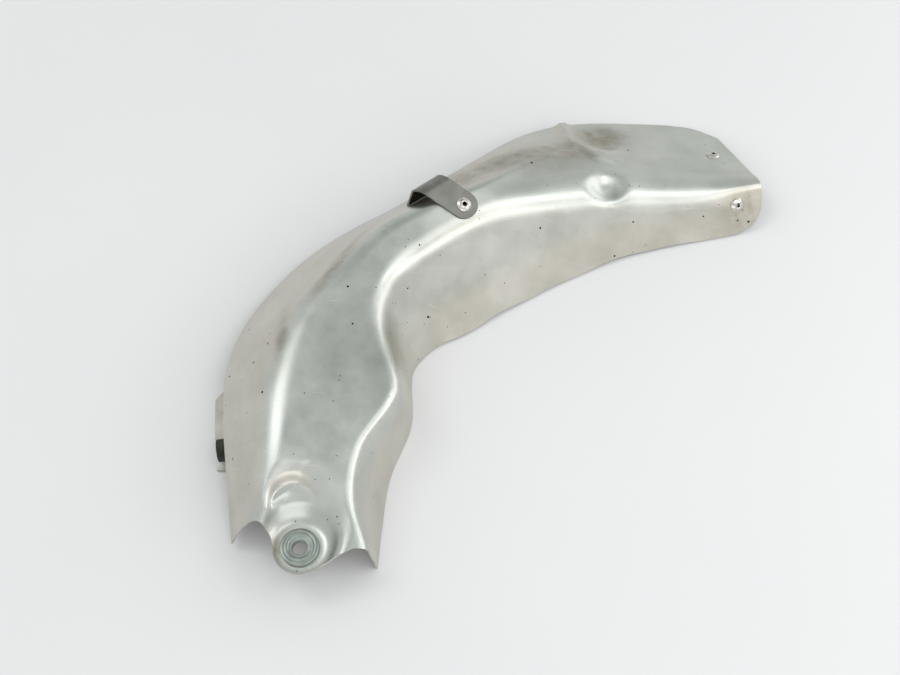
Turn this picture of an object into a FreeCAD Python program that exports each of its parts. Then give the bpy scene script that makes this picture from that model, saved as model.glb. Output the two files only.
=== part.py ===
import FreeCAD, Part
import Sketcher
import functools
import math
import os

# Heat shield for an engine bay: one pressed aluminium sheet, folded into a curved open channel that
# lies over a hot pipe, with a riveted strap loop, a captive bush, a bolt bracket and a riveted end strip.
# Millimetres, +Z up. The channel lies open side down, as it rests on a bench.

Vector = FreeCAD.Vector
UP = Vector(0, 0, 1)

# Driving dimensions. "along" is a distance down the spine of the channel, "reach" is a distance from the
# spine towards the outside of the bend.
SIZES = {
    # spine: a straight, a tight bend, a wide bend and a last straight
    "front_x": -82.43,
    "front_y": -161.03,
    "front_run": 131.0,
    "tight_radius": 75.0,
    "tight_turn": 54.0,
    "wide_radius": 260.0,
    "wide_turn": 33.0,
    # sheet
    "sheet_thickness": 1.0,
    # lowered seat round the bush, the cone that rises from it, and the terrace with a brim above
    "bush_along": 10.0,
    "bush_reach": 30.2,
    "seat_height": 25.0,
    "seat_flat": 11.5,
    "cone_slope": 0.65,
    "cone_run": 14.0,
    "fan_ahead": 17.6,
    "fan_side": 13.4,
    "fan_bearing": 55.0,
    "fan_slope": 1.0,
    "fan_round": 4.0,
    "nest_along": 31.5,
    "nest_reach": 33.7,
    "nest_radius": 12.0,
    "nest_height": 36.0,
    "brim_rise": 8.0,
    "brim_run": 7.0,
    "brim_round": 3.5,
    # front outline: round lobe about the bush, round notch beside it, straight lip
    "lobe_radius": 15.0,
    "notch_along": 10.0,
    "notch_reach": 60.2,
    "notch_radius": 14.6,
    "lip_along": 7.5,
    "lip_reach": 0.5,
    # tail outline: long slanted edge with rounded corners
    "slant_along": 374.0,
    "slant_reach": 86.5,
    "bow_along": 404.0,
    "bow_reach": 79.5,
    "bow_round": 30.0,
    "corner_along": 419.0,
    "corner_reach": 66.5,
    "corner_round": 5.0,
    "nose_along": 436.8,
    "nose_reach": 9.0,
    "nose_round": 9.0,
    "chin_along": 434.5,
    "chin_reach": -3.0,
    "chin_round": 7.0,
    "heel_along": 417.0,
    "heel_reach": -15.0,
    # round dent on the ridge
    "dent_along": 333.0,
    "dent_reach": 7.0,
    "dent_length": 10.5,
    "dent_width": 8.0,
    "dent_depth": 4.0,
    # bulge of the back behind the strap, above the sharp fold of the brow
    "pillow_along": 282.0,
    "pillow_reach": 44.0,
    "pillow_length": 34.0,
    "pillow_width": 13.0,
    "pillow_height": 4.0,
    # oval recess in the back panel, and the bead that curls round its near side
    "oval_along": 341.0,
    "oval_reach": 62.0,
    "oval_length": 14.0,
    "oval_width": 15.0,
    "oval_depth": 4.0,
    "bead_along": 344.0,
    "bead_reach": 57.5,
    "bead_radius": 28.0,
    "bead_width": 4.0,
    "bead_height": 4.0,
    # flat facet pressed across the ridge at the tail
    "facet_along": 398.0,
    "facet_reach": 6.0,
    "facet_height": 27.1,
    "facet_slope": 46.0,
    "facet_fall": 18.0,
    "facet_round": 1.2,
    "facet_run": 20.0,
    # captive bush and its backing washer
    "bush_flange_radius": 10.8,
    "bush_flange_height": 2.2,
    "bush_chamfer": 0.5,
    "bush_ring_radius": 6.2,
    "bush_ring_depth": 0.5,
    "bush_sleeve_radius": 5.6,
    "bush_bore_radius": 4.25,
    "washer_radius": 8.8,
    "washer_height": 1.2,
    "bush_lip_radius": 6.6,
    "bush_lip_height": 0.8,
    # strap loop
    "strap_along": 240.0,
    "strap_reach": 7.5,
    "strap_heading": 149.0,
    "strap_width": 17.5,
    "strap_thickness": 1.2,
    "strap_span": 27.5,
    "strap_skew": 0.42,
    "strap_bend": 8.0,
    "strap_turn": 95.0,
    "strap_leg": 46.0,
    "scribe_start": 0.4,
    # blind rivets
    "rivet_radius": 2.4,
    "rivet_head_radius": 4.6,
    "rivet_head_height": 1.6,
    "rivet_rim": 0.4,
    "rivet_mandrel_radius": 1.3,
    "rivet_mandrel_depth": 2.6,
    "rivet_bulb_radius": 3.6,
    "rivet_bulb_height": 3.5,
    "tail_rivet_along": 419.0,
    "tail_rivet_reach": 2.9,
    "back_rivet_along": 411.0,
    "back_rivet_reach": 45.5,
    # backing strip under the tail, pressed to the same form as the sheet
    "strip_width": 19.0,
    "strip_thickness": 1.2,
    "strip_overhang": 9.5,
    # bolt bracket inside the outer wall
    "bracket_along": 95.0,
    "bracket_length": 56.0,
    "bracket_thickness": 1.6,
    "bracket_tab": 14.0,
    "bracket_bottom": 0.4,
    "bracket_foot": 8.0,
    "bracket_bend": 2.5,
    "bolt_height": 7.9,
    "bolt_setback": 17.5,
    "bolt_radius": 4.0,
    "bolt_length": 16.0,
    "bolt_across": 13.0,
    "bolt_head_height": 5.3,
    "nut_height": 6.5,
    # clearances
    "seat_gap": 0.1,
    "sheet_gap": 0.3,
    "hole_slack": 0.3,
}

# Sections across the channel at named stations. The foot and the ridge reach towards the inside of the
# bend, the brow and the edge towards the outside.
STATIONS = (
    "mouth",
    "lip",
    "seat",
    "waist",
    "hip",
    "knee",
    "bend",
    "neck",
    "strap",
    "dent",
    "arm",
    "tail",
    "tip",
)
SECTIONS = {
    "station": (-22, 8, 30, 62, 97, 130, 165, 205, 255, 310, 365, 400, 446),
    "foot_reach": (9, 10.3, 12, 16, 28, 28, 36, 43.5, 41.5, 32, 18.5, 12, 6),
    "ridge_reach": (6, 6.5, -1, 2, 23, 15, 7, 5, 1.5, -0.5, -3.5, -7, -12),
    "ridge_height": (24, 32, 37, 43, 46, 49, 52, 53, 51, 45, 37, 32, 26),
    "ridge_round": (5, 5, 6, 6, 8, 12, 18, 24, 26, 24, 20, 16, 12),
    "brow_reach": (48, 49.5, 51, 51, 49.5, 40.5, 22, 17.5, 16, 32, 24, 23, 25),
    "brow_height": (27, 34, 40, 48, 53, 56, 59, 60, 57, 42, 29, 24, 18),
    "brow_round": (9, 9, 9, 10, 10, 10, 10, 8, 3.5, 4.5, 8, 8, 8),
    "edge_reach": (64, 69, 72, 76, 80.5, 81, 67, 53, 55.5, 80.5, 85, 82, 76),
    "edge_height": (2, 4.5, 7, 16, 17, 14, 10, 15, 20, 9, 0.8, 0, 0),
}

# Points of the grids that the pressed pieces are worked out on: along and across each
PANEL_GRID = (95, 50)
STRAP_GRID = (49, 5)
SCRIBE_GRID = (28, 30)
STRIP_GRID = (29, 7)
BRACKET_GRID = (41, 9)

doc = FreeCAD.newDocument("heat_shield")
sheet = doc.addObject("Spreadsheet::Sheet", "Sizes")
section_sheet = doc.addObject("Spreadsheet::Sheet", "Sections")
for row, (name, value) in enumerate(SIZES.items(), start=1):
    sheet.set(f"A{row}", name)
    sheet.set(f"B{row}", str(value))
    sheet.setAlias(f"B{row}", name)
for row, (name, values) in enumerate(SECTIONS.items(), start=1):
    section_sheet.set(f"A{row}", name)
    for column, (station, value) in enumerate(zip(STATIONS, values)):
        cell = f"{chr(ord('B') + column)}{row}"
        section_sheet.set(cell, str(value))
        section_sheet.setAlias(cell, f"{name}_{station}")
doc.recompute()

S = {name: float(sheet.get(name)) for name in SIZES}
ROWS = {name: [float(section_sheet.get(f"{name}_{station}")) for station in STATIONS] for name in SECTIONS}


# Spine and sections


def smooth_row(name, along):
    """Value of a section row between its stations: cubic pieces whose slopes come from the neighbours."""
    xs = ROWS["station"]
    ys = ROWS[name]
    last = len(xs) - 1
    rises = [(ys[i + 1] - ys[i]) / (xs[i + 1] - xs[i]) for i in range(last)]

    def slope(i):
        if i in (0, last):
            return rises[min(i, last - 1)]
        before = xs[i] - xs[i - 1]
        after = xs[i + 1] - xs[i]
        return (rises[i - 1] * after + rises[i] * before) / (before + after)

    i = max(k for k in range(last) if k == 0 or xs[k] < along)
    gap = xs[i + 1] - xs[i]
    u = (along - xs[i]) / gap
    return (
        ys[i] * (2 * u + 1) * (1 - u) ** 2
        + ys[i + 1] * u * u * (3 - 2 * u)
        + gap * slope(i) * u * (1 - u) ** 2
        + gap * slope(i + 1) * u * u * (u - 1)
    )


def heading_vector(heading):
    return Vector(math.cos(heading), math.sin(heading), 0)


def spine(along):
    """Plan point of the spine and its heading: straight, right-hand arc, wider arc, straight."""
    point = Vector(S["front_x"], S["front_y"], 0)
    heading = math.pi / 2
    straight = min(along, S["front_run"])
    point = point + heading_vector(heading) * straight
    rest = along - straight
    for turn, radius in (("tight_turn", "tight_radius"), ("wide_turn", "wide_radius")):
        length = math.radians(S[turn]) * S[radius]
        ahead = heading - min(rest, length) / S[radius]
        point = point + Vector(
            S[radius] * (math.sin(heading) - math.sin(ahead)),
            S[radius] * (math.cos(ahead) - math.cos(heading)),
            0,
        )
        heading = ahead
        rest = max(0.0, rest - length)
    return point + heading_vector(heading) * rest, heading


def plan(along, reach):
    """Plan point at a distance down the spine and a reach to its outer side."""
    point, heading = spine(along)
    return point + heading_vector(heading + math.pi / 2) * reach


def rounded_corner(before, at, after, radius):
    """Two tangent points and the centre of a round between two straight lines."""
    back = (before - at).normalize()
    ahead = (after - at).normalize()
    half = back.getAngle(ahead) / 2
    trim = radius / math.tan(half)
    centre = at + (back + ahead).normalize() * (radius / math.sin(half))
    return at + back * trim, at + ahead * trim, centre


def line_between(start, end):
    """Straight stretch as its length and its point at a share of 0 to 1."""
    return (end - start).Length, lambda u: start + (end - start) * u


def arc_about(start, end, centre):
    """Round stretch as its length and its point at a share of 0 to 1, turning evenly about the centre."""
    first = start - centre
    second = end - centre
    turn = first.getAngle(second)

    def point(u):
        return centre + (first * math.sin((1 - u) * turn) + second * math.sin(u * turn)) / math.sin(turn)

    return first.Length * turn, point


def chain_point(stretches, share):
    """Point at a share of the whole length of a chain of stretches."""
    distance = share * sum(length for length, _ in stretches)
    for length, point in stretches[:-1]:
        if distance <= length:
            return point(distance / length)
        distance -= length
    length, point = stretches[-1]
    return point(min(1.0, distance / length))


@functools.lru_cache(maxsize=None)
def section(along):
    """Section as a chain of five stretches: wall, ridge, crown, brow and back."""
    foot = Vector(-smooth_row("foot_reach", along), 0, 0)
    ridge = Vector(-smooth_row("ridge_reach", along), 0, smooth_row("ridge_height", along))
    brow = Vector(smooth_row("brow_reach", along), 0, smooth_row("brow_height", along))
    edge = Vector(smooth_row("edge_reach", along), 0, smooth_row("edge_height", along))
    ridge_in, ridge_out, ridge_centre = rounded_corner(foot, ridge, brow, smooth_row("ridge_round", along))
    brow_in, brow_out, brow_centre = rounded_corner(ridge, brow, edge, smooth_row("brow_round", along))
    return (
        line_between(foot, ridge_in),
        arc_about(ridge_in, ridge_out, ridge_centre),
        line_between(ridge_out, brow_in),
        arc_about(brow_in, brow_out, brow_centre),
        line_between(brow_out, edge),
    )


# Pressed forms, as changes of the sheet's height


def ease(u):
    """Smooth rise from 0 to 1."""
    u = max(0.0, min(1.0, u))
    return u * u * (3 - 2 * u)


def lower_of(first, second, rounding):
    """The lower of two heights, with their crossing rounded over."""
    share = max(0.0, min(1.0, 0.5 + 0.5 * (second - first) / rounding))
    return second * (1 - share) + first * share - rounding * share * (1 - share)


def offset_from(point, along, reach):
    """Offset of a plan point from a place on the spine's grid, in its own directions."""
    offset = point - plan(along, reach)
    heading = spine(along)[1]
    return offset.dot(heading_vector(heading)), offset.dot(heading_vector(heading + math.pi / 2))


def seat_form(point, height):
    """Lowered flat round the bush: a cone rises from it to the crown, below a small terrace with a brim."""
    x, y = offset_from(point, S["bush_along"], S["bush_reach"])
    past = max(0.0, math.hypot(x, y) - S["seat_flat"])
    cone = S["seat_height"] + S["cone_slope"] * past * ease(past / S["cone_run"])
    bearing = math.radians(S["fan_bearing"])
    side = (x - S["fan_ahead"]) * math.cos(bearing) + (y - S["fan_side"]) * math.sin(bearing)
    side = max(0.0, side)
    cone += S["fan_slope"] * side * side / (side + S["fan_round"])
    x, y = offset_from(point, S["nest_along"], S["nest_reach"])
    out = math.hypot(x, y) - S["nest_radius"]
    nest = S["nest_height"] + S["brim_rise"] * ease(out / S["brim_run"]) + max(0.0, out - S["brim_run"])
    return lower_of(lower_of(height, nest, S["brim_round"]), cone, S["brim_round"])


def dent_form(point, height):
    """Round dent knocked into the ridge."""
    x, y = offset_from(point, S["dent_along"], S["dent_reach"])
    away = math.hypot(x / S["dent_length"], y / S["dent_width"])
    return height - S["dent_depth"] * math.exp(-(away**3))


def pillow_form(point, height):
    """Soft bulge of the back behind the strap."""
    x, y = offset_from(point, S["pillow_along"], S["pillow_reach"])
    away = math.hypot(x / S["pillow_length"], y / S["pillow_width"])
    return height + S["pillow_height"] * math.exp(-(away**2))


def oval_form(point, height):
    """Oval recess in the back panel."""
    x, y = offset_from(point, S["oval_along"], S["oval_reach"])
    away = math.hypot(x / S["oval_length"], y / S["oval_width"])
    return height - S["oval_depth"] * math.exp(-(away**4))


def bead_form(point, height):
    """Raised bead that runs in from the outer edge, curls round the oval and fades at the ridge."""
    x, y = offset_from(point, S["bead_along"], S["bead_reach"])
    from_line = abs(x + S["bead_radius"]) if y > 0 else abs(math.hypot(x, y) - S["bead_radius"])
    on_bead = math.exp(-((from_line / S["bead_width"]) ** 2))
    return height + S["bead_height"] * on_bead * ease(1.25 - (x + S["bead_radius"]) / S["bead_radius"])


def facet_form(point, height):
    """Flat facet across the ridge at the tail, falling towards the tip and towards the foot."""
    x, y = offset_from(point, S["facet_along"], S["facet_reach"])
    if x < -S["facet_run"]:
        return height
    plane = S["facet_height"] - math.tan(math.radians(S["facet_fall"])) * x
    plane += math.tan(math.radians(S["facet_slope"])) * y
    lowered = lower_of(height, plane, S["facet_round"])
    return height + (lowered - height) * ease(height / (4 * S["facet_round"]))


PRESSED_FORMS = (seat_form, dent_form, pillow_form, oval_form, bead_form, facet_form)


def underside(along, across):
    """Point of the sheet's underside; across runs from 0 at the foot to 1 at the outer edge."""
    flat = chain_point(section(along), across)
    point = plan(along, flat.x)
    height = flat.z
    for form in PRESSED_FORMS:
        height = form(point, height)
    return Vector(point.x, point.y, height)


def outward(along, across):
    """Unit normal of the sheet, on the side away from the inside of the channel."""
    step = 0.004
    low = max(0.0, across - step)
    high = min(1.0, across + step)
    ahead = underside(along + step, across) - underside(along - step, across)
    return ahead.cross(underside(along, high) - underside(along, low)).normalize()


def across_at(along, reach):
    """Place across the section that has a given reach, by halving."""
    low, high = 0.0, 1.0
    for _ in range(40):
        middle = (low + high) / 2
        if chain_point(section(along), middle).x < reach:
            low = middle
        else:
            high = middle
    return low


def skin_frame(along, reach, depth=0.0):
    """Placement on the outer face of the sheet, +Z along its normal, sunk by a depth."""
    across = across_at(along, reach)
    normal = outward(along, across)
    point = underside(along, across) + normal * (S["sheet_thickness"] - depth)
    ahead = heading_vector(spine(along)[1])
    return FreeCAD.Placement(point, FreeCAD.Rotation(ahead, normal.cross(ahead), normal, "ZXY"))


# Shapes worked out from grids of points


def grid_normals(rows):
    """Unit normals of a grid of points from the differences between neighbours."""
    normals = []
    for i, row in enumerate(rows):
        before = rows[max(0, i - 1)]
        after = rows[min(len(rows) - 1, i + 1)]
        line = []
        for j in range(len(row)):
            sideways = row[min(len(row) - 1, j + 1)] - row[max(0, j - 1)]
            line.append((after[j] - before[j]).cross(sideways).normalize())
        normals.append(line)
    return normals


def sheet_solid(rows, start, end):
    """Solid between two offsets of a grid of points along its normals."""
    normals = grid_normals(rows)
    surfaces = []
    for offset in (start, end):
        surface = Part.BSplineSurface()
        surface.interpolate(
            [[p + n * offset for p, n in zip(row, line)] for row, line in zip(rows, normals)]
        )
        surfaces.append(surface)
    low, high = surfaces
    faces = [low.toShape(), high.toShape()]
    first_u, last_u, first_v, last_v = low.bounds()
    for u in (first_u, last_u):
        faces.append(Part.makeRuledSurface(low.uIso(u).toShape(), high.uIso(u).toShape()))
    for v in (first_v, last_v):
        faces.append(Part.makeRuledSurface(low.vIso(v).toShape(), high.vIso(v).toShape()))
    shell = Part.makeShell(faces)
    shell.sewShape()
    solid = Part.makeSolid(shell)
    if solid.Volume < 0:
        solid.reverse()
    return solid


def steps(start, end, count):
    """Evenly spaced values with both ends."""
    return [start + (end - start) * i / (count - 1) for i in range(count)]


def rounded_outline(corners):
    """Closed plan wire from corners given as (point, radius), radius 0 for a sharp corner."""
    edges = []
    ends = []
    for i, (at, radius) in enumerate(corners):
        before = corners[i - 1][0]
        after = corners[(i + 1) % len(corners)][0]
        if radius:
            start, end, centre = rounded_corner(before, at, after, radius)
            middle = centre + (at - centre).normalize() * radius
            edges.append(Part.Arc(start, middle, end).toShape())
            ends.append((start, end))
        else:
            ends.append((at, at))
    for i, (start, _) in enumerate(ends):
        edges.append(Part.makeLine(ends[i - 1][1], start))
    return Part.Wire(Part.__sortEdges__(edges))


# Document objects


def feature(name, shape, placement=None):
    """Part feature that holds a worked-out shape."""
    item = doc.addObject("Part::Feature", name)
    item.Shape = shape
    if placement:
        item.Placement = placement
    return item


def bind(item, **expressions):
    """Tie properties of an object to expressions of the size sheet."""
    for name, expression in expressions.items():
        item.setExpression(name, expression)
    return item


def cylinder(name, radius, height, placement):
    item = doc.addObject("Part::Cylinder", name)
    item.Placement = placement
    return bind(item, Radius=radius, Height=height)


def boolean(kind, name, base, tool):
    item = doc.addObject(f"Part::{kind}", name)
    item.Base = base
    item.Tool = tool
    return item


def cut_all(name, base, tools):
    """Cut several tools from a base, one after the other; the last cut is the finished piece."""
    for i, tool in enumerate(tools, start=1):
        base = boolean("Cut", name if i == len(tools) else f"{name}_cut_{i}", base, tool)
    return base


def raised(placement, height):
    """Placement moved along its own Z."""
    return placement.multiply(FreeCAD.Placement(UP * height, FreeCAD.Rotation()))


def hole(name, radius, placement, depth):
    """Cutting cylinder that passes a depth to each side of a placement's origin."""
    return cylinder(name, radius, str(2 * depth), raised(placement, -depth))


def value_of(terms):
    """Number that a sum of size names stands for, such as "seat_gap + bush_flange_height"."""
    total = 0.0
    sign = 1
    for word in terms.split():
        if word in "+-":
            sign = 1 if word == "+" else -1
        else:
            total += sign * S[word]
    return total


def expression_of(terms):
    """The same sum as an expression that reads the size sheet."""
    return " ".join(word if word in "+-" else f"Sizes.{word}" for word in terms.split())


def turned(name, profile, placement):
    """Body revolved about its Z from a closed profile of (radius, height) sums; "" lies on the axis."""
    body = doc.addObject("PartDesign::Body", name)
    body.Label = name
    sketch = body.newObject("Sketcher::SketchObject", f"{name}_profile")
    origin = {item.Role: item for item in body.Origin.OriginFeatures}
    sketch.AttachmentSupport = [(origin["XZ_Plane"], "")]
    sketch.MapMode = "FlatFace"
    points = [Vector(value_of(radius), value_of(height), 0) for radius, height in profile]
    count = len(points)
    for i in range(count):
        sketch.addGeometry(Part.LineSegment(points[i], points[(i + 1) % count]), False)
    for i in range(count):
        sketch.addConstraint(Sketcher.Constraint("Coincident", i, 2, (i + 1) % count, 1))
    for i, terms in enumerate(profile):
        for kind, axis, term, value in zip(("DistanceX", "DistanceY"), (-2, -1), terms, points[i]):
            if term:
                index = sketch.addConstraint(Sketcher.Constraint(kind, -1, 1, i, 1, value))
                sketch.setExpression(f"Constraints[{index}]", expression_of(term))
            else:
                sketch.addConstraint(Sketcher.Constraint("PointOnObject", i, 1, axis))
    revolution = body.newObject("PartDesign::Revolution", f"{name}_turned")
    revolution.Profile = sketch
    revolution.ReferenceAxis = (sketch, ["V_Axis"])
    revolution.Angle = 360
    body.Placement = placement
    return body


def blind_rivet(name, grip, placement):
    """Set blind rivet: domed head with the mandrel's hole, shank, and the bulb that holds it below."""
    top = "seat_gap + rivet_head_height"
    below = "- " + grip.replace("+", "-")
    profile = (
        ("", f"{top} - rivet_mandrel_depth"),
        ("rivet_mandrel_radius", f"{top} - rivet_mandrel_depth"),
        ("rivet_mandrel_radius", top),
        ("rivet_mandrel_radius + rivet_rim + rivet_rim", top),
        ("rivet_head_radius - rivet_rim", "seat_gap + rivet_rim + rivet_rim"),
        ("rivet_head_radius", "seat_gap + rivet_rim"),
        ("rivet_head_radius", "seat_gap"),
        ("rivet_radius", "seat_gap"),
        ("rivet_radius", f"{below} - seat_gap"),
        ("rivet_bulb_radius", f"{below} - seat_gap"),
        ("rivet_bulb_radius", f"{below} - seat_gap - rivet_rim"),
        ("rivet_radius", f"{below} - rivet_bulb_height"),
        ("", f"{below} - rivet_bulb_height"),
    )
    return turned(name, profile, placement)


# Seat bush: flanged sleeve pushed through the sheet and turned over a backing washer


def bush_frame():
    return skin_frame(S["bush_along"], S["bush_reach"])


def build_bush():
    top = "seat_gap + bush_flange_height"
    bottom = "- sheet_thickness - sheet_gap - washer_height - seat_gap"
    profile = (
        ("bush_bore_radius", f"{top} - bush_ring_depth"),
        ("bush_ring_radius", f"{top} - bush_ring_depth"),
        ("bush_ring_radius + bush_ring_depth", top),
        ("bush_flange_radius - bush_chamfer", top),
        ("bush_flange_radius", f"{top} - bush_chamfer"),
        ("bush_flange_radius", "seat_gap"),
        ("bush_sleeve_radius", "seat_gap"),
        ("bush_sleeve_radius", bottom),
        ("bush_lip_radius", bottom),
        ("bush_lip_radius", f"{bottom} - bush_lip_height"),
        ("bush_bore_radius", f"{bottom} - bush_lip_height"),
    )
    return turned("seat_bush", profile, bush_frame())


def build_bush_washer():
    top = "- sheet_thickness - sheet_gap"
    inner = "bush_sleeve_radius + hole_slack"
    profile = (
        (inner, top),
        ("washer_radius", top),
        ("washer_radius", f"{top} - washer_height"),
        (inner, f"{top} - washer_height"),
    )
    return turned("bush_washer", profile, bush_frame())


# Strap loop: a flat strip riveted to the crown and bent down, its end scribed to the back of the sheet


def strap_frame():
    """Placement on the sheet under the strap's rivet, +X along the strap and +Z along the sheet's normal."""
    frame = skin_frame(S["strap_along"], S["strap_reach"])
    normal = frame.Rotation.multVec(UP)
    heading = heading_vector(math.radians(S["strap_heading"]))
    ahead = (heading - normal * heading.dot(normal)).normalize()
    return FreeCAD.Placement(frame.Base, FreeCAD.Rotation(ahead, normal.cross(ahead), normal, "ZXY"))


def strap_grid():
    """Rows of points on the strap's middle skin, each line along it bent down at the skewed fold."""
    half = S["strap_width"] / 2
    lift = S["sheet_gap"] + S["strap_thickness"] / 2
    turn = math.radians(S["strap_turn"])
    along, across = STRAP_GRID
    frame = strap_frame()
    columns = []
    for side in steps(-half, half, across):
        toe = Vector(-half, side, lift)
        bend = Vector(S["strap_span"] + S["strap_skew"] * side, side, lift)
        end = bend + Vector(math.cos(turn), 0, -math.sin(turn)) * S["strap_leg"]
        bend_in, bend_out, bend_centre = rounded_corner(toe, bend, end, S["strap_bend"])
        stretches = (
            line_between(toe, bend_in),
            arc_about(bend_in, bend_out, bend_centre),
            line_between(bend_out, end),
        )
        columns.append([frame.multVec(chain_point(stretches, share)) for share in steps(0, 1, along)])
    return [list(row) for row in zip(*columns)]


def strap_scribe():
    """Everything under the sheet's outer face and its gap, which the strap's end is cut to."""
    run = S["strap_span"] + S["strap_width"]
    count_along, count_across = SCRIBE_GRID
    rise = S["sheet_thickness"] + S["sheet_gap"]
    places = steps(S["scribe_start"], 1, count_across)
    rows = []
    for along in steps(S["strap_along"] - run, S["strap_along"] + run, count_along):
        rows.append([underside(along, across) + outward(along, across) * rise for across in places])
    skin = Part.BSplineSurface()
    skin.interpolate(rows)
    item = doc.addObject("Part::Extrusion", "strap_scribe")
    item.Base = feature("strap_scribe_skin", skin.toShape())
    item.Dir = UP * -1
    item.Solid = True
    return bind(item, LengthFwd="2 * Sizes.strap_leg")


def build_strap():
    half = S["strap_thickness"] / 2
    form = feature("strap_form", sheet_solid(strap_grid(), -half, half))
    frame = strap_frame()
    depth = S["sheet_gap"] + 2 * S["strap_thickness"]
    corner_box = doc.addObject("Part::Box", "toe_box")
    bind(corner_box, Length="Sizes.strap_width", Width="2 * Sizes.strap_width", Height=str(2 * depth))
    corner_box.Placement = frame.multiply(
        FreeCAD.Placement(Vector(-S["strap_width"], -S["strap_width"], -depth), FreeCAD.Rotation())
    )
    round_end = cylinder("toe_round", "Sizes.strap_width / 2", str(2 * depth), raised(frame, -depth))
    toe_trim = boolean("Cut", "toe_trim", corner_box, round_end)
    rivet_hole = hole("strap_hole", "Sizes.rivet_radius + Sizes.hole_slack", frame, depth)
    return cut_all("strap_loop", form, [strap_scribe(), toe_trim, rivet_hole])


def build_strap_rivet():
    grip = "strap_thickness + sheet_gap + sheet_thickness"
    return blind_rivet("strap_rivet", grip, raised(strap_frame(), S["sheet_gap"] + S["strap_thickness"]))


# Backing strip under the tail and its two rivets


def tail_frames():
    return (
        skin_frame(S["tail_rivet_along"], S["tail_rivet_reach"]),
        skin_frame(S["back_rivet_along"], S["back_rivet_reach"]),
    )


def build_tail_strip():
    tail_along, tail_reach = S["tail_rivet_along"], S["tail_rivet_reach"]
    back_along, back_reach = S["back_rivet_along"], S["back_rivet_reach"]
    first = back_reach + S["strip_overhang"]
    last = tail_reach - S["strip_overhang"] * math.cos(math.radians(S["facet_slope"]))
    half = S["strip_width"] / 2
    count_along, count_across = STRIP_GRID
    rows = []
    for reach in steps(first, last, count_along):
        middle = tail_along + (back_along - tail_along) * (reach - tail_reach) / (back_reach - tail_reach)
        stations = steps(middle - half, middle + half, count_across)
        rows.append([underside(along, across_at(along, reach)) for along in stations])
    form = feature("strip_form", sheet_solid(rows, -S["sheet_gap"] - S["strip_thickness"], -S["sheet_gap"]))
    clear = "Sizes.rivet_radius + Sizes.hole_slack"
    depth = S["sheet_thickness"] + S["sheet_gap"] + 2 * S["strip_thickness"]
    holes = [hole(f"strip_hole_{i}", clear, frame, depth) for i, frame in enumerate(tail_frames())]
    return cut_all("tail_strip", form, holes)


def build_tail_rivets():
    grip = "sheet_thickness + sheet_gap + strip_thickness"
    names = ("tail_rivet", "back_rivet")
    return [blind_rivet(name, grip, frame) for name, frame in zip(names, tail_frames())]


# Bolt bracket: a strip inside the outer wall that drops below the free edge and turns out as a foot


def bracket_path(along):
    """Corners of the bracket's middle line at a station, as reach and height: tab, bend, web and foot."""
    edge = chain_point(section(along), 1)
    normal = outward(along, 1)
    out = heading_vector(spine(along)[1] + math.pi / 2)
    lean = Vector(normal.dot(out), 0, normal.z).normalize()
    down = Vector(lean.z, 0, -lean.x)
    half = S["bracket_thickness"] / 2
    on_tab = edge - lean * (S["sheet_gap"] + half)
    web = edge.x + lean.x * S["sheet_thickness"] - half
    bend = on_tab + down * ((web - on_tab.x) / down.x)
    bottom = S["bracket_bottom"] + half
    return (
        bend - down * S["bracket_tab"],
        bend,
        Vector(web, 0, bottom),
        Vector(web + S["bracket_foot"], 0, bottom),
    )


def bracket_grid():
    """Rows of points along the bracket's folded middle line, spread along the wall's edge."""
    half = S["bracket_length"] / 2
    count_across, count_along = BRACKET_GRID
    columns = []
    for along in steps(S["bracket_along"] - half, S["bracket_along"] + half, count_along):
        tab, bend, web, foot = bracket_path(along)
        bend_in, bend_out, bend_centre = rounded_corner(tab, bend, web, S["bracket_bend"])
        foot_in, foot_out, foot_centre = rounded_corner(bend, web, foot, S["bracket_bend"])
        stretches = (
            line_between(tab, bend_in),
            arc_about(bend_in, bend_out, bend_centre),
            line_between(bend_out, foot_in),
            arc_about(foot_in, foot_out, foot_centre),
            line_between(foot_out, foot),
        )
        flat = [chain_point(stretches, share) for share in steps(0, 1, count_across)]
        columns.append([plan(along, point.x) + UP * point.z for point in flat])
    return [list(row) for row in zip(*columns)]


def bolt_frame():
    """Placement on the outer face of the bracket's web, +Z pointing out along the bolt."""
    along = S["bracket_along"] - S["bolt_setback"]

    def web_point(station):
        reach = bracket_path(station)[2].x + S["bracket_thickness"] / 2
        return plan(station, reach) + UP * S["bolt_height"]

    ahead = (web_point(along + S["bolt_radius"]) - web_point(along - S["bolt_radius"])).normalize()
    out = UP.cross(ahead)
    return FreeCAD.Placement(web_point(along), FreeCAD.Rotation(ahead, out.cross(ahead), out, "ZXY"))


def build_bracket():
    half = S["bracket_thickness"] / 2
    form = feature("bracket_form", sheet_solid(bracket_grid(), -half, half))
    frame = bolt_frame()
    bore = hole("bracket_bore", "Sizes.bolt_radius + Sizes.hole_slack", frame, 2 * S["bracket_thickness"])
    room = doc.addObject("Part::Box", "bolt_room")
    bind(room, Length="1.5 * Sizes.bolt_across", Width="2 * Sizes.bolt_height", Height="2 * Sizes.bracket_foot")
    room.Placement = frame.multiply(
        FreeCAD.Placement(Vector(-0.75 * S["bolt_across"], -S["bolt_height"], 0), FreeCAD.Rotation())
    )
    return cut_all("side_bracket", form, [bore, room])


def hexagon(name, height, placement):
    item = doc.addObject("Part::Prism", name)
    item.Polygon = 6
    item.Placement = placement
    return bind(item, Circumradius="Sizes.bolt_across / sqrt(3)", Height=height)


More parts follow.
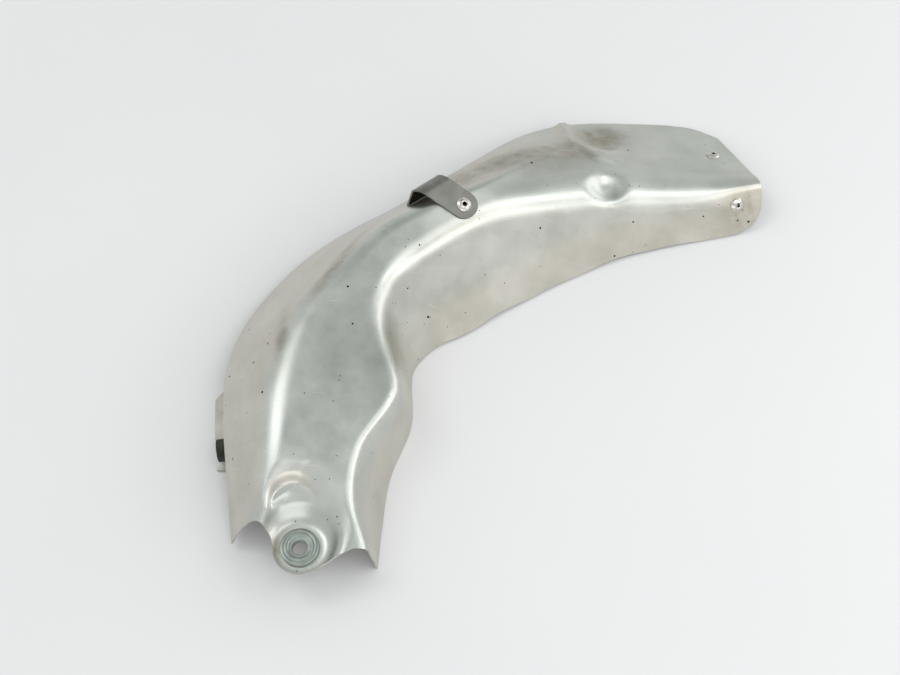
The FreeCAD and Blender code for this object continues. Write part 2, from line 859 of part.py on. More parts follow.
def build_bolt():
    frame = bolt_frame()
    head = hexagon("bolt_head", "Sizes.bolt_head_height", raised(frame, S["seat_gap"]))
    start = S["seat_gap"] - S["bolt_length"]
    length = "Sizes.bolt_length + Sizes.bolt_head_height / 2"
    shank = cylinder("bolt_shank", "Sizes.bolt_radius", length, raised(frame, start))
    return boolean("Fuse", "side_bolt", head, shank)


def build_nut():
    drop = S["bracket_thickness"] + S["seat_gap"] + S["nut_height"]
    frame = raised(bolt_frame(), -drop)
    body = hexagon("nut_hexagon", "Sizes.nut_height", frame)
    bore = hole("nut_bore", "Sizes.bolt_radius + Sizes.seat_gap", frame, 2 * S["nut_height"])
    return boolean("Cut", "side_nut", body, bore)


# Shield panel


def panel_grid():
    """Rows of points of the sheet's underside, one row for each station along the spine."""
    count_along, count_across = PANEL_GRID
    stations = steps(ROWS["station"][0], ROWS["station"][-1], count_along)
    return [[underside(along, across) for across in steps(0, 1, count_across)] for along in stations]


def trim_prism(name, outline):
    """Cutting prism on a plan outline, from below the feet to above the crown."""
    height = 2 * max(ROWS["brow_height"])
    base = feature(f"{name}_outline", outline)
    base.Placement = FreeCAD.Placement(UP * (-height / 4), FreeCAD.Rotation())
    item = doc.addObject("Part::Extrusion", name)
    item.Base = base
    item.Dir = UP
    item.LengthFwd = height
    item.Solid = True
    return item


def front_trim():
    """Waste in front of the mouth: round notch at the outer wall, lobe about the bush, straight lip."""
    far = ROWS["station"][0] - S["lobe_radius"]
    wide = max(ROWS["edge_reach"])
    notch = S["notch_radius"]
    lobe = S["lobe_radius"]
    bush = plan(S["bush_along"], S["bush_reach"])
    lip = plan(S["lip_along"], S["lip_reach"])
    bearing = math.atan2(lip.y - bush.y, lip.x - bush.x)
    touch = bearing - math.acos(lobe / (lip - bush).Length)

    def on_lobe(angle):
        return bush + heading_vector(angle) * lobe

    lobe_start = on_lobe(math.pi)
    lobe_end = on_lobe(touch)
    notch_out = plan(S["notch_along"], S["notch_reach"] + notch)
    notch_in = plan(S["notch_along"], S["notch_reach"] - notch)
    notch_top = plan(S["notch_along"] + notch, S["notch_reach"])
    corners = (
        plan(S["lip_along"], -max(ROWS["foot_reach"])),
        plan(far, -max(ROWS["foot_reach"])),
        plan(far, wide),
        plan(S["notch_along"], wide),
        notch_out,
    )
    edges = [Part.makeLine(lobe_end, lip), Part.makeLine(lip, corners[0])]
    edges += [Part.makeLine(a, b) for a, b in zip(corners, corners[1:])]
    edges += [
        Part.Arc(notch_out, notch_top, notch_in).toShape(),
        Part.makeLine(notch_in, lobe_start),
        Part.Arc(lobe_start, on_lobe((touch - math.pi) / 2), lobe_end).toShape(),
    ]
    return trim_prism("front_trim", Part.Wire(Part.__sortEdges__(edges)))


def tail_trim():
    """Waste past the tail: a long slanted edge with rounded corners down to the foot."""
    far = ROWS["station"][-1] + S["nose_round"]
    wide = max(ROWS["edge_reach"]) + S["corner_reach"]
    corners = (
        (plan(S["slant_along"], S["slant_reach"]), 0),
        (plan(S["bow_along"], S["bow_reach"]), S["bow_round"]),
        (plan(S["corner_along"], S["corner_reach"]), S["corner_round"]),
        (plan(S["nose_along"], S["nose_reach"]), S["nose_round"]),
        (plan(S["chin_along"], S["chin_reach"]), S["chin_round"]),
        (plan(S["heel_along"], S["heel_reach"]), 0),
        (plan(S["heel_along"], -wide), 0),
        (plan(far, -wide), 0),
        (plan(far, wide), 0),
        (plan(S["slant_along"], wide), 0),
    )
    return trim_prism("tail_trim", rounded_outline(corners))


def build_panel():
    form = feature("panel_form", sheet_solid(panel_grid(), 0, S["sheet_thickness"]))
    clear = "Sizes.rivet_radius + Sizes.hole_slack"
    depth = 3 * S["sheet_thickness"]
    tail, back = tail_frames()
    cuts = [
        front_trim(),
        tail_trim(),
        hole("bush_hole", "Sizes.bush_sleeve_radius + Sizes.hole_slack", bush_frame(), depth),
        hole("panel_strap_hole", clear, strap_frame(), depth),
        hole("panel_tail_hole", clear, tail, depth),
        hole("panel_back_hole", clear, back, depth),
    ]
    return cut_all("shield_panel", form, cuts)


# Build, check and write


def write_parts(pieces):
    """Recompute, stop on any failed object or shape, then write one file for each piece."""
    doc.recompute()
    for item in doc.Objects:
        if "Invalid" in item.State or "Error" in item.State:
            raise RuntimeError(f"{item.Label} failed to build")
    for piece in pieces:
        if piece.Shape.isNull() or not piece.Shape.isValid() or not piece.Shape.Solids:
            raise RuntimeError(f"{piece.Label} is not a valid solid")
    os.makedirs("parts", exist_ok=True)
    for piece in pieces:
        piece.Shape.exportStep(f"parts/{piece.Label}.step")
        box = piece.Shape.BoundBox
        print(f"{piece.Label}: {len(piece.Shape.Solids)} solid, {piece.Shape.Volume:.0f} mm3, {box}")


write_parts(
    [
        build_panel(),
        build_bush(),
        build_bush_washer(),
        build_strap(),
        build_strap_rivet(),
        build_tail_strip(),
        *build_tail_rivets(),
        build_bracket(),
        build_bolt(),
        build_nut(),
    ]
)
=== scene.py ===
import math

import bpy
import numpy as np
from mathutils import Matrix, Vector


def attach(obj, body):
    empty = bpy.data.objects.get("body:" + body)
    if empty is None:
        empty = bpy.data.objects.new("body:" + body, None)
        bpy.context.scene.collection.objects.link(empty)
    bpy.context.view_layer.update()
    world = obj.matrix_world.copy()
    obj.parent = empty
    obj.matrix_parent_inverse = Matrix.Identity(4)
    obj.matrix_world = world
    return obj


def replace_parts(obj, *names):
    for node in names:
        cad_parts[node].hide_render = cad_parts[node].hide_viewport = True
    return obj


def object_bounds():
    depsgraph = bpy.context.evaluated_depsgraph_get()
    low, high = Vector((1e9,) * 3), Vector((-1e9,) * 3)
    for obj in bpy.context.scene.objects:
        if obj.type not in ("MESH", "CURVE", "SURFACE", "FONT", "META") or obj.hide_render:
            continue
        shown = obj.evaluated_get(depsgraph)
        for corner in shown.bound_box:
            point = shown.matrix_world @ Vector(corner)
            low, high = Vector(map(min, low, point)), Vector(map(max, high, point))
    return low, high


# Dressed heat shield: the pressed sheet is worked out again as a fine grid, and every fastener gets its
# finish. Lengths in the shape formulas are millimetres, as in the part's own drawing; meshes are in metres.

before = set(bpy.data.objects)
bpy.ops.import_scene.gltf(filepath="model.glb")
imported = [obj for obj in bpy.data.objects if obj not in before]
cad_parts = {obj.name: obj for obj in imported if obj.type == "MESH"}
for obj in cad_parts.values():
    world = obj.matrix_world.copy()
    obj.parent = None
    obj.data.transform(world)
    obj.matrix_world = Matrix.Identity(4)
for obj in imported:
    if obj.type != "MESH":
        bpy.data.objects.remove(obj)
solid_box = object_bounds()
MM = 0.001

# Spine of the channel: start, first straight, tight bend, wide bend
FRONT_X = -82.43
FRONT_Y = -161.03
FRONT_RUN = 131.0
TIGHT_RADIUS = 75.0
TIGHT_TURN = math.radians(54)
WIDE_RADIUS = 260.0
WIDE_TURN = math.radians(33)

# Sheet
THICKNESS = 1.0

# Sections across the channel at stations along the spine. The foot and the ridge reach towards the inside
# of the bend, the brow and the edge towards the outside. Over the first straight the brow is rounder here
# than in the solid, by up to about 2 mm at its corner, which gives its wide pale band.
SECTIONS = {
    "station": (-22, 8, 30, 62, 97, 130, 165, 205, 255, 310, 365, 400, 446),
    "foot_reach": (9, 10.3, 12, 16, 28, 28, 36, 43.5, 41.5, 32, 18.5, 12, 6),
    "ridge_reach": (6, 6.5, -1, 2, 23, 15, 7, 5, 1.5, -0.5, -3.5, -7, -12),
    "ridge_height": (24, 32, 37, 43, 46, 49, 52, 53, 51, 45, 37, 32, 26),
    "ridge_round": (5, 5, 6, 6, 8, 12, 18, 24, 26, 24, 20, 16, 12),
    "brow_reach": (48, 49.5, 51, 51, 49.5, 40.5, 22, 17.5, 16, 32, 24, 23, 25),
    "brow_height": (27, 34, 40, 48, 53, 56, 59, 60, 57, 42, 29, 24, 18),
    "brow_round": (9, 9, 12, 22, 26, 22, 13, 8, 3.5, 4.5, 8, 8, 8),
    "edge_reach": (64, 69, 72, 76, 80.5, 81, 67, 53, 55.5, 80.5, 85, 82, 76),
    "edge_height": (2, 4.5, 7, 16, 17, 14, 10, 15, 20, 9, 0.8, 0, 0),
}

# Seat round the bush: place on the spine's grid, then the heights and runs of its ramp and brim
BUSH = (10.0, 30.2)
SEAT_HEIGHT = 25.0
SEAT_FLAT = 11.5
CONE_SLOPE, CONE_RUN = 0.65, 14.0
FAN_AHEAD, FAN_SIDE, FAN_BEARING = 17.6, 13.4, math.radians(55.0)
FAN_SLOPE, FAN_ROUND = 1.0, 4.0
NEST = (31.5, 33.7)
NEST_RADIUS, NEST_HEIGHT = 12.0, 36.0
BRIM_RISE, BRIM_RUN, BRIM_ROUND = 8.0, 7.0, 3.5

# Front outline: lobe about the bush, notch beside it, straight lip
LOBE_RADIUS = 15.0
NOTCH = (10.0, 60.2)
NOTCH_RADIUS = 14.6
LIP = (7.5, 0.5)

# Tail outline: corners as along, reach and rounding
TAIL_CORNERS = (
    (374.0, 86.5, 0.0),
    (404.0, 79.5, 30.0),
    (419.0, 66.5, 5.0),
    (436.8, 9.0, 20.0),
    (435.2, -4.5, 14.0),
    (405.0, -14.0, 0.0),
)

# Dent on the ridge, bulge of the back, oval recess, the bead that curls round it, and the facet at the tail
DENT = (333.0, 7.0)
DENT_LENGTH, DENT_WIDTH, DENT_DEPTH = 10.5, 8.0, 4.0
PILLOW = (282.0, 44.0)
PILLOW_LENGTH, PILLOW_WIDTH, PILLOW_HEIGHT = 34.0, 13.0, 4.0
OVAL = (341.0, 62.0)
OVAL_LENGTH, OVAL_WIDTH, OVAL_DEPTH = 14.0, 15.0, 4.0
BEAD = (344.0, 57.5)
BEAD_RADIUS, BEAD_WIDTH, BEAD_HEIGHT, BEAD_END = 28.0, 4.0, 4.0, 1.25
FACET = (398.0, 6.0)
FACET_HEIGHT, FACET_SLOPE, FACET_FALL, FACET_ROUND, FACET_RUN = 27.1, 46.0, 18.0, 1.2, 20.0

# Fasteners: places on the spine's grid, and profiles of radius and height above the outer face. A profile
# that closes on its axis ends at a radius too small to see.
AXIS = 0.02
TAIL_RIVET = (419.0, 2.9)
BACK_RIVET = (411.0, 45.5)
STRAP_RIVET = (240.0, 7.5)
STRAP_RAISE = 1.5
RIVET_HOLE = ((AXIS, -0.9), (1.2, -0.9), (1.3, -0.6), (1.3, 1.3))
RIVET_SHELL = (
    (1.3, 1.3),
    (1.45, 1.58),
    (1.8, 1.7),
    (2.3, 1.66),
    (3.1, 1.38),
    (3.8, 1.0),
    (4.3, 0.7),
    (4.55, 0.45),
    (4.6, 0.1),
    (2.4, 0.1),
    (2.4, -2.6),
    (3.6, -2.6),
    (3.55, -3.0),
    (3.1, -4.6),
    (2.4, -6.0),
    (AXIS, -6.0),
)
BUSH_HOLE = 5.9
BUSH_PROFILE = (
    (4.25, 1.5),
    (4.55, 1.78),
    (5.9, 1.8),
    (6.2, 1.86),
    (6.55, 2.2),
    (6.8, 2.3),
    (8.2, 2.3),
    (8.35, 2.24),
    (8.5, 2.3),
    (10.1, 2.3),
    (10.5, 2.17),
    (10.75, 1.9),
    (10.8, 0.1),
    (5.6, 0.1),
    (5.6, -2.6),
    (6.6, -2.6),
    (6.5, -3.3),
    (4.6, -3.4),
    (4.25, -3.1),
    (4.25, 1.5),
)

# Bolt bracket on the outer edge. Its tip, room and cut are the share of the foot's width left at the tip, the
# share of a side that a round may take, and the half-width cut clear in bolt heads.
SHEET_GAP = 0.3
BRACKET_ALONG, BRACKET_LENGTH, BRACKET_THICKNESS = 95.0, 56.0, 1.6
BRACKET_TAB, BRACKET_BOTTOM, BRACKET_FOOT, BRACKET_BEND, BRACKET_TAPER = 14.0, 0.4, 8.0, 2.5, 10.0
BRACKET_TIP, BRACKET_ROOM, BRACKET_CUT = 0.1, 0.8, 0.75

# Bolt in the bracket. Its face and dish are shares of the head's half-width, and it stands square to the web
# over the span on both sides of it.
BOLT_ALONG, BOLT_HEIGHT, BOLT_ACROSS = 77.5, 7.9, 13.0
BOLT_END, BOLT_SHANK, BOLT_SEAT, BOLT_HEAD = -15.9, 4.0, 0.1, 5.4
BOLT_FACE, BOLT_DISH, BOLT_DIP, BOLT_BEVEL, BOLT_CHAMFER = 0.95, 0.7, 0.25, 0.6, math.radians(30)
BOLT_SPAN = 4.0

# Brown clouds on the sheet: place on the spine's grid, length, width and depth of colour. A negative depth
# clears the middle of the oval. Most are heat stains; the two narrow lines just outside the brow are painted
# shade in its crease, and the cloud over the tail facet is partly a stain and partly painted shade.
STAINS_AND_SHADE = (
    ((341.0, 66.0), 15.0, 12.0, 0.95),
    ((341.0, 67.0), 7.0, 6.0, -0.4),
    ((285.0, 40.0), 42.0, 17.0, 0.55),
    ((318.0, 40.0), 14.0, 14.0, 0.35),
    ((246.0, 34.0), 16.0, 14.0, 0.4),
    # painted shade: narrow dark lines in the crease just outside the brow
    ((168.0, 26.5), 30.0, 4.0, 0.55),
    ((128.0, 45.0), 20.0, 3.5, 0.5),
    # over the tail facet: partly a stain, partly painted shade where the facet faces the ridge light
    ((424.0, 1.0), 16.0, 12.0, 0.5),
    ((9.0, 43.0), 10.0, 9.0, 0.6),
)

# Darkening of the face that looks at the hot pipe: partly its heat tarnish, partly painted shade for the dark
# inside of the channel
INNER_TARNISH_AND_SHADE = 0.75

# Beige of the sheet, a painted reflection of the floor in the leaning walls: how upright a normal may be, the
# cooler upper wall by share of the section, left darker as painted shade below the ridge, the facet along the
# spine, and the cool seat by distance from the bush
WARM_BELOW, WARM_RUN = 0.97, 0.3
COOL_WALL, COOL_WALL_FROM, COOL_WALL_RUN, COOL_WALL_END = 0.6, 0.15, 0.09, 0.45
WARM_FACET, WARM_FACET_RUN = 412.0, 12.0
COOL_SEAT, COOL_SEAT_RUN = 24.0, 14.0

# Random value past which a cell carries a full speck, and the spread of a plain metal's gloss
SPECK_CUT = 0.8
GLOSS_SPREAD = 0.08

# Colour sockets of a mix node
MIX_A, MIX_B, MIX_OUT = 6, 7, 2

# Grid of the sheet: rows over the front zone, the plain middle and the tail zone, and columns
FRONT_ROWS, MIDDLE_ROWS, TAIL_ROWS = 70, 170, 60
COLUMNS = 130
FRONT_ZONE_END = 62.0
TAIL_ZONE_START = 380.0

# Uneven foot edge past the bend: share of the section, start and run, middle, waves as height, length, shift
HEM = 0.018
HEM_START, HEM_RUN = 150.0, 40.0
HEM_MIDDLE = 0.6
HEM_WAVES = ((0.25, 17.0, 0.0), (0.15, 7.5, 1.0))

# Steps of the section's table, of an end outline, of its arcs and of its corners
TABLE_STEPS, OUTLINE_STEPS, ARC_STEPS, CORNER_STEPS = 2001, 4000, 60, 24

# Steps round a turned piece, rows of the bracket, steps of its bends, and the edge angle that stays sharp
ROUND_STEPS = 72
BRACKET_ROWS = 113
BEND_STEPS = 9
SHARP_ANGLE = math.radians(35)

# Studio in metres: floor with six clouds to the metre, the grey card that the crown mirrors towards the
# camera, and the room's strength
FLOOR_HALF, FLOOR_DROP, FLOOR_CLOUDS = 30.0, 0.0002, 6.0
BACK_CARD = (-0.10, 0.44, 0.89)
CARD_EDGE, CARD_MIDDLE = math.radians(42), math.radians(14)
ROOM_STRENGTH = 0.85

# Soft lights as place, target, size and watts. The ridge and tail ones stand where the fold mirrors them.
SOFT_LIGHTS = {
    "left_softbox": ((-0.70, 0.20, 1.20), (0, 0, 0), (0.5, 0.6), 2.4),
    "overhead_softbox": ((0.35, -0.35, 1.30), (0, 0, 0), (0.7, 0.45), 1.3),
    "right_softbox": ((1.15, 0.42, 0.60), (0, 0, 0), (0.9, 0.5), 2.0),
    "ridge_softbox": ((0.85, -0.30, 0.64), (0, 0.03, 0.05), (0.5, 0.24), 1.2),
    "tail_strip_light": ((0.58, 0.02, 0.78), (0.1, 0.08, 0.03), (0.2, 0.16), 0.5),
    "front_softbox": ((0.15, -1.30, 0.60), (0, 0, 0), (1.4, 0.6), 2.6),
}

# Camera: lens and sensor, the point it looks at from the front of the spine, distance and angle down
CAMERA_LENS, CAMERA_SENSOR = 50.0, 36.0
CAMERA_LOOK = (52.0, 158.0)
CAMERA_DISTANCE = 0.780
CAMERA_DOWN = math.radians(60)


# Shape of the sheet


def station_row(name, along):
    """Row of the section table between its stations: cubic pieces whose slopes come from the neighbours."""
    xs = np.array(SECTIONS["station"], float)
    ys = np.array(SECTIONS[name], float)
    gaps = np.diff(xs)
    rises = np.diff(ys) / gaps
    inner = (rises[:-1] * gaps[1:] + rises[1:] * gaps[:-1]) / (gaps[:-1] + gaps[1:])
    slopes = np.concatenate([rises[:1], inner, rises[-1:]])
    i = np.clip(np.searchsorted(xs, along) - 1, 0, len(gaps) - 1)
    u = (along - xs[i]) / gaps[i]
    return (
        ys[i] * (2 * u + 1) * (1 - u) ** 2
        + ys[i + 1] * u * u * (3 - 2 * u)
        + gaps[i] * slopes[i] * u * (1 - u) ** 2
        + gaps[i] * slopes[i + 1] * u * u * (u - 1)
    )


def heading_at(along):
    """Heading of the spine: it turns evenly through the tight bend, then through the wide one."""
    tight = np.clip((along - FRONT_RUN) / TIGHT_RADIUS, 0, TIGHT_TURN)
    wide = np.clip((along - FRONT_RUN - TIGHT_RADIUS * TIGHT_TURN) / WIDE_RADIUS, 0, WIDE_TURN)
    return math.pi / 2 - tight - wide


def plan(along, reach):
    """Plan point at a distance down the spine, of straight, two arcs and straight, and a reach outwards."""
    along = np.asarray(along, float)
    x = np.full(along.shape, FRONT_X)
    y = FRONT_Y + np.minimum(along, FRONT_RUN)
    heading = np.full(along.shape, math.pi / 2)
    rest = along - np.minimum(along, FRONT_RUN)
    for turn, radius in ((TIGHT_TURN, TIGHT_RADIUS), (WIDE_TURN, WIDE_RADIUS)):
        ahead = heading - np.minimum(rest, turn * radius) / radius
        x = x + radius * (np.sin(heading) - np.sin(ahead))
        y = y + radius * (np.cos(ahead) - np.cos(heading))
        heading = ahead
        rest = np.maximum(0, rest - turn * radius)
    x = x + rest * np.cos(heading) - reach * np.sin(heading)
    y = y + rest * np.sin(heading) + reach * np.cos(heading)
    return np.stack([x, y], -1)


def unit(vectors):
    """Vectors scaled to a length of 1."""
    return vectors / np.linalg.norm(vectors, axis=-1, keepdims=True)


def round_between(before, at, after, radius):
    """Tangent points, centre and turn of a round that fills the corner of two straight lines."""
    back = unit(before - at)
    ahead = unit(after - at)
    half = np.arccos(np.clip((back * ahead).sum(-1), -1, 1)) / 2
    trim = (radius / np.tan(half))[..., None]
    centre = at + unit(back + ahead) * (radius / np.sin(half))[..., None]
    return at + back * trim, at + ahead * trim, centre, math.pi - 2 * half


def section(along, share):
    """Reach and height of the sheet's underside at a share, 0 to 1, of the section's length.

    The section is a chain of wall, round ridge, crown, round brow and back, walked by length.
    """
    nothing = np.zeros_like(along)
    foot = np.stack([-station_row("foot_reach", along), nothing], -1)
    ridge = np.stack([-station_row("ridge_reach", along), station_row("ridge_height", along)], -1)
    brow = np.stack([station_row("brow_reach", along), station_row("brow_height", along)], -1)
    edge = np.stack([station_row("edge_reach", along), station_row("edge_height", along)], -1)
    ridge_radius = station_row("ridge_round", along)
    brow_radius = station_row("brow_round", along)
    ridge_in, ridge_out, ridge_centre, ridge_turn = round_between(foot, ridge, brow, ridge_radius)
    brow_in, brow_out, brow_centre, brow_turn = round_between(ridge, brow, edge, brow_radius)
    lengths = (
        np.linalg.norm(ridge_in - foot, axis=-1),
        ridge_radius * ridge_turn,
        np.linalg.norm(brow_in - ridge_out, axis=-1),
        brow_radius * brow_turn,
        np.linalg.norm(edge - brow_out, axis=-1),
    )
    left = share * sum(lengths)
    shares = []
    for length in lengths:
        shares.append(np.clip(left / length, 0, 1)[..., None])
        left = left - length
    wall, on_ridge, crown, on_brow, back = shares

    def arc(start, end, centre, turn, u):
        turn = turn[..., None]
        swing = (start - centre) * np.sin((1 - u) * turn) + (end - centre) * np.sin(u * turn)
        return centre + swing / np.sin(turn)

    point = foot + (ridge_in - foot) * wall
    point = point + arc(ridge_in, ridge_out, ridge_centre, ridge_turn, on_ridge) - ridge_in
    point = point + (brow_in - ridge_out) * crown
    point = point + arc(brow_in, brow_out, brow_centre, brow_turn, on_brow) - brow_in
    return point + (edge - brow_out) * back


def ease(u):
    """Smooth rise from 0 to 1."""
    u = np.clip(u, 0, 1)
    return u * u * (3 - 2 * u)


def lower_of(first, second, rounding):
    """The lower of two heights, with their crossing rounded over."""
    share = np.clip(0.5 + 0.5 * (second - first) / rounding, 0, 1)
    return second * (1 - share) + first * share - rounding * share * (1 - share)


def offset_from(point, place):
    """Offset of plan points from a place on the spine's grid, along its heading and to its outer side."""
    along, reach = place
    heading = float(heading_at(np.float64(along)))
    ahead = np.array([math.cos(heading), math.sin(heading)])
    aside = np.array([-math.sin(heading), math.cos(heading)])
    offset = point - plan(along, reach)
    return offset @ ahead, offset @ aside


def seat_form(point, height):
    """Lowered flat round the bush: a cone rises from it to the crown, below a small terrace with a brim."""
    x, y = offset_from(point, BUSH)
    past = np.maximum(0, np.hypot(x, y) - SEAT_FLAT)
    cone = SEAT_HEIGHT + CONE_SLOPE * past * ease(past / CONE_RUN)
    side = (x - FAN_AHEAD) * math.cos(FAN_BEARING) + (y - FAN_SIDE) * math.sin(FAN_BEARING)
    side = np.maximum(0, side)
    cone = cone + FAN_SLOPE * side * side / (side + FAN_ROUND)
    x, y = offset_from(point, NEST)
    out = np.hypot(x, y) - NEST_RADIUS
    nest = NEST_HEIGHT + BRIM_RISE * ease(out / BRIM_RUN) + np.maximum(0, out - BRIM_RUN)
    return lower_of(lower_of(height, nest, BRIM_ROUND), cone, BRIM_ROUND)


def dent_form(point, height):
    """Round dent knocked into the ridge."""
    x, y = offset_from(point, DENT)
    return height - DENT_DEPTH * np.exp(-(np.hypot(x / DENT_LENGTH, y / DENT_WIDTH) ** 3))


def pillow_form(point, height):
    """Soft bulge of the back behind the strap."""
    x, y = offset_from(point, PILLOW)
    return height + PILLOW_HEIGHT * np.exp(-(np.hypot(x / PILLOW_LENGTH, y / PILLOW_WIDTH) ** 2))


def oval_form(point, height):
    """Oval recess in the back panel."""
    x, y = offset_from(point, OVAL)
    return height - OVAL_DEPTH * np.exp(-(np.hypot(x / OVAL_LENGTH, y / OVAL_WIDTH) ** 4))


def bead_form(point, height):
    """Raised bead that runs in from the outer edge, curls round the oval and fades at the ridge."""
    x, y = offset_from(point, BEAD)
    from_line = np.where(y > 0, np.abs(x + BEAD_RADIUS), np.abs(np.hypot(x, y) - BEAD_RADIUS))
    on_bead = np.exp(-((from_line / BEAD_WIDTH) ** 2))
    return height + BEAD_HEIGHT * on_bead * ease(BEAD_END - (x + BEAD_RADIUS) / BEAD_RADIUS)


def facet_form(point, height):
    """Flat facet across the ridge at the tail, falling towards the tip and towards the foot."""
    x, y = offset_from(point, FACET)
    fall, slope = (math.tan(math.radians(angle)) for angle in (FACET_FALL, FACET_SLOPE))
    plane = FACET_HEIGHT - fall * x + slope * y
    lowered = lower_of(height, plane, FACET_ROUND)
    return np.where(x < -FACET_RUN, height, height + (lowered - height) * ease(height / (4 * FACET_ROUND)))


PRESSED_FORMS = (seat_form, dent_form, pillow_form, oval_form, bead_form, facet_form)


def underside(along, share):
    """Points of the sheet's underside: the section carried along the spine, with the pressed forms in it."""
    flat = section(along, share)
    point = plan(along, flat[..., 0])
    height = flat[..., 1]
    for form in PRESSED_FORMS:
        height = form(point, height)
    return np.concatenate([point, height[..., None]], -1)


def outward(along, share):
    """Unit normals of the sheet away from the inside of the channel, from small steps both ways."""
    step = 0.05
    tick = 0.0005
    ahead = underside(along + step, share) - underside(along - step, share)
    aside = underside(along, np.minimum(1, share + tick)) - underside(along, np.maximum(0, share - tick))
    return unit(np.cross(ahead, aside))


def share_at(along, reach):
    """Share of the section at which it has a given reach, read from a fine table of the section."""
    shares = np.linspace(0, 1, TABLE_STEPS)
    table = section(np.full(shares.shape, float(along)), shares)[:, 0]
    return float(np.interp(reach, table, shares))


# Outlines of the trimmed ends, as along and reach


def even_points(points, count):
    """Points spaced evenly by length along a line of points."""
    marks = np.concatenate([[0], np.cumsum(np.linalg.norm(np.diff(points, axis=0), axis=1))])
    wanted = np.linspace(0, marks[-1], count)
    return np.stack([np.interp(wanted, marks, points[:, k]) for k in range(2)], -1)


def arc_points(centre, radius, start, end):
    """Points of an arc in along and reach; the angle is counted from the reach direction."""
    angle = np.linspace(start, end, ARC_STEPS)
    return np.stack([centre[0] + radius * np.sin(angle), centre[1] + radius * np.cos(angle)], -1)


def front_outline():
    """Front edge from the foot to the outer edge: straight lip, tangent, lobe, notch, straight."""
    to_lip = np.array(LIP) - np.array(BUSH)
    bearing = math.atan2(to_lip[0], to_lip[1])
    touch = bearing + math.acos(LOBE_RADIUS / np.linalg.norm(to_lip))
    if touch > 0:
        touch -= 2 * math.pi
    lobe = arc_points(BUSH, LOBE_RADIUS, touch, 0.0)
    notch = arc_points(NOTCH, NOTCH_RADIUS, math.pi, 0.0)
    foot = [[LIP[0], -2 * max(SECTIONS["foot_reach"])]]
    edge = [[NOTCH[0], 2 * max(SECTIONS["edge_reach"])]]
    return np.vstack([foot, [LIP], lobe, notch, edge])


def tail_outline():
    """Tail edge from the foot to the outer edge, its corners rounded."""
    corners = np.array(TAIL_CORNERS)[::-1]
    pieces = [corners[:1, :2]]
    for before, at, after in zip(corners[:-2], corners[1:-1], corners[2:]):
        start, end, centre, _ = round_between(before[None, :2], at[None, :2], after[None, :2], at[2:3])
        u = np.linspace(0, 1, CORNER_STEPS)[:, None]
        bow = start * (1 - u) ** 2 + 2 * at[:2] * u * (1 - u) + end * u**2
        pieces.append(centre + unit(bow - centre) * at[2])
    pieces.append(corners[-1:, :2])
    return np.vstack(pieces)


def outline_on_sheet(outline):
    """The part of an end outline on the sheet, as along and share of the section, evenly spaced."""
    dense = even_points(outline, OUTLINE_STEPS)
    foot = -station_row("foot_reach", dense[:, 0])
    edge = station_row("edge_reach", dense[:, 0])
    dense = dense[(dense[:, 1] >= foot) & (dense[:, 1] <= edge)]
    ends = even_points(dense, COLUMNS)
    shares = np.array([share_at(along, reach) for along, reach in ends])
    shares[0], shares[-1] = 0.0, 1.0
    return ends[:, 0], shares


def hem(along):
    """Share of the section by which the foot is short: two sine waves about a middle, past the bend."""
    wave = HEM_MIDDLE + sum(height * np.sin(along / length + shift) for height, length, shift in HEM_WAVES)
    return HEM * wave * ease((along - HEM_START) / HEM_RUN)


def sheet_grid():
    """Along and share of every grid point: plain rows in the middle, bent to the outlines at both ends."""
    even = np.linspace(0, 1, COLUMNS)
    front_along, front_share = outline_on_sheet(front_outline())
    tail_along, tail_share = outline_on_sheet(tail_outline())

    def zone(along_from, share_from, along_to, share_to, rows):
        u = np.linspace(0, 1, rows + 1)[:, None]
        return along_from + (along_to - along_from) * u, share_from + (share_to - share_from) * u

    front = zone(front_along, front_share, FRONT_ZONE_END, even, FRONT_ROWS)
    middle = zone(np.full(COLUMNS, FRONT_ZONE_END), even, TAIL_ZONE_START, even, MIDDLE_ROWS)
    tail = zone(np.full(COLUMNS, TAIL_ZONE_START), even, tail_along, tail_share, TAIL_ROWS)
    along, share = [np.vstack([a[:-1], b[:-1], c]) for a, b, c in zip(front, middle, tail)]
    return along, share + (1 - share) * hem(along)


# Mesh and material helpers


def mesh_piece(name, points, faces):
    """Object at the origin from millimetre points and faces, smooth except over sharp edges."""
    mesh = bpy.data.meshes.new(name)
    mesh.from_pydata((points * MM).tolist(), [], faces.tolist())
    mesh.polygons.foreach_set("use_smooth", np.ones(len(mesh.polygons), bool))
    mesh.set_sharp_from_angle(angle=SHARP_ANGLE)
    mesh.update()
    item = bpy.data.objects.new(name, mesh)
    bpy.context.scene.collection.objects.link(item)
    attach(item, "root")
    return item


def linear(code):
    """Linear colour of an sRGB hex value."""
    parts = [int(code[i:i + 2], 16) / 255 for i in (1, 3, 5)]
    return tuple(c / 12.92 if c <= 0.04045 else ((c + 0.055) / 1.055) ** 2.4 for c in parts) + (1.0,)


def add(tree, kind, inputs=None, **properties):
    """Node of a kind with its properties. An input takes a link from a socket, a hex colour or a value."""
    made = tree.nodes.new(kind)
    for name, value in properties.items():
        setattr(made, name, value)
    for socket, value in (inputs or {}).items():
        if isinstance(value, bpy.types.NodeSocket):
            tree.links.new(value, made.inputs[socket])
        else:
            made.inputs[socket].default_value = linear(value) if isinstance(value, str) else value
    return made


def new_material(name):
    """Material with an empty tree, the tree, and the Object coordinates that its patterns read."""
    material = bpy.data.materials.new(name)
    material.use_nodes = True
    tree = material.node_tree
    tree.nodes.clear()
    return material, tree, add(tree, "ShaderNodeTexCoord").outputs["Object"]


def per_metre(size_mm):
    """Texture scale on metre coordinates that gives a pattern of a size in millimetres."""
    return 1 / (size_mm * MM)


# Finishes


